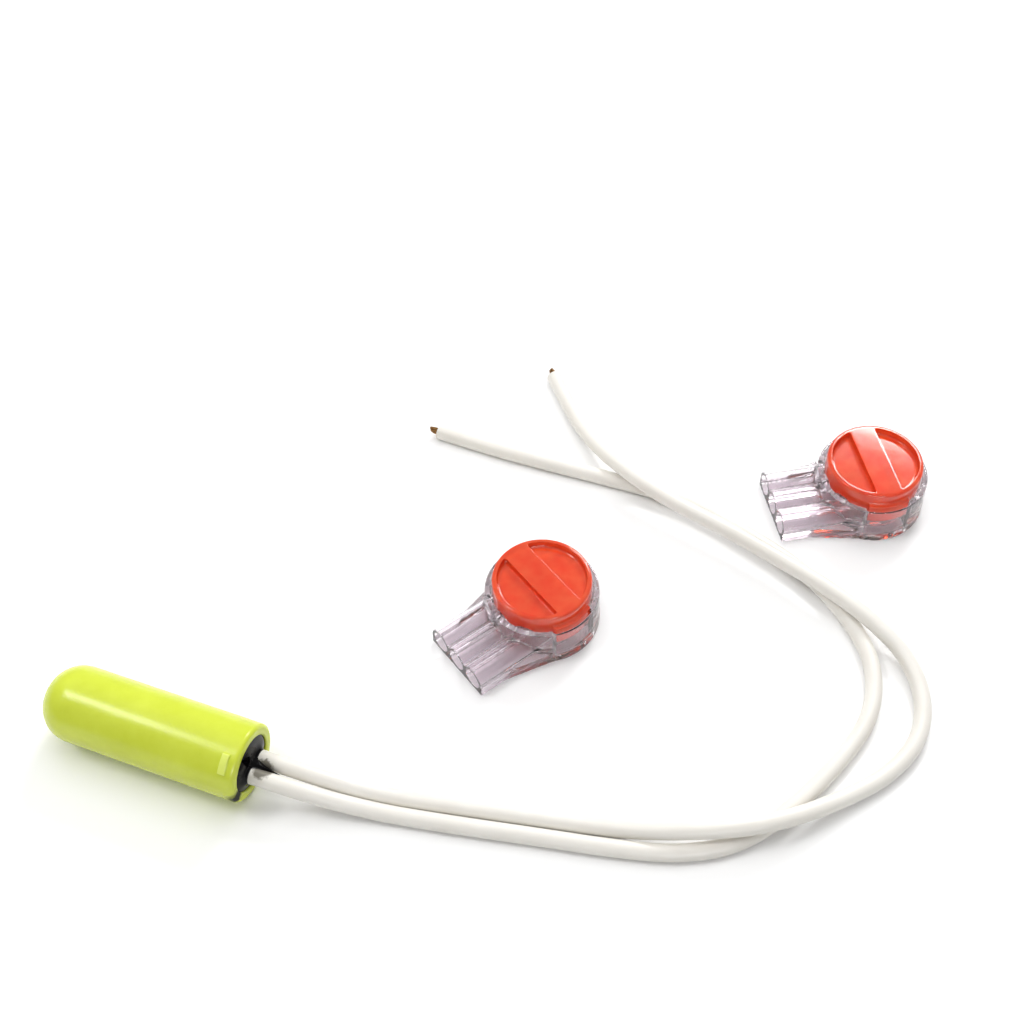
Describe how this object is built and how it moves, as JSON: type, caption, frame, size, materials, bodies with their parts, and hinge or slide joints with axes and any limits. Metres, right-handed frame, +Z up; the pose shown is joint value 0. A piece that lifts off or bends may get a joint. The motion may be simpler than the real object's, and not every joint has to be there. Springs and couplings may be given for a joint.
{
  "type": "soil sensor probe with splice connectors",
  "caption": "Smooth round-ended green capsule potted with black epoxy on two loose white leads, with loose button splice connectors whose red caps press down.",
  "frame": {"origin": "on the surface that everything rests on, under the middle of the box round the capsule and the two connectors", "axes": "+Z up; +X along the longest side of that box, from the capsule to the far connector"},
  "size_m": [0.0968, 0.0673, 0.0082],
  "materials": {
    "green_plastic": "smooth moulding, soft gloss",
    "black_epoxy": "glossy",
    "white_pvc": "smooth extrusion",
    "copper": "bright drawn",
    "heat_shrink": "satin",
    "solder": "bright",
    "wire_nickel": "bright drawn",
    "ceramic": "fired",
    "bead_coating": "dipped, glossy",
    "clear_plastic": "clear polycarbonate",
    "red_plastic": "translucent",
    "tinned_brass": "tin plated",
    "sealant_gel": "soft clear gel"
  },
  "bodies": {
    "probe": {"capsule_shell": "green_plastic", "potting_epoxy": "black_epoxy", "lead_a_insulation": "white_pvc", "lead_b_insulation": "white_pvc", "lead_a_conductor": "copper", "lead_b_conductor": "copper", "heat_shrink_a": "heat_shrink", "heat_shrink_b": "heat_shrink", "solder_joint_a": "solder", "solder_joint_b": "solder", "thermistor_wire_a": "wire_nickel", "thermistor_wire_b": "wire_nickel", "thermistor_chip": "ceramic", "thermistor_coating": "bead_coating"},
    "splice_1_base": {"splice_1_housing": "clear_plastic", "splice_1_gel": "sealant_gel"},
    "splice_1_cap": {"splice_1_press_cap": "red_plastic", "splice_1_contact": "tinned_brass"},
    "splice_2_base": {"splice_2_housing": "clear_plastic", "splice_2_gel": "sealant_gel"},
    "splice_2_cap": {"splice_2_press_cap": "red_plastic", "splice_2_contact": "tinned_brass"}
  },
  "joints": [
    {"name": "splice_1_lift", "type": "slide", "parent": "probe", "child": "splice_1_base", "axis": [0, 0, 1], "range_m": [0, 0.03]},
    {"name": "splice_1_press", "type": "slide", "parent": "splice_1_base", "child": "splice_1_cap", "axis": [0, 0, -1], "range_m": [0, 0.002]},
    {"name": "splice_2_lift", "type": "slide", "parent": "probe", "child": "splice_2_base", "axis": [0, 0, 1], "range_m": [0, 0.03]},
    {"name": "splice_2_press", "type": "slide", "parent": "splice_2_base", "child": "splice_2_cap", "axis": [0, 0, -1], "range_m": [0, 0.002]}
  ]
}
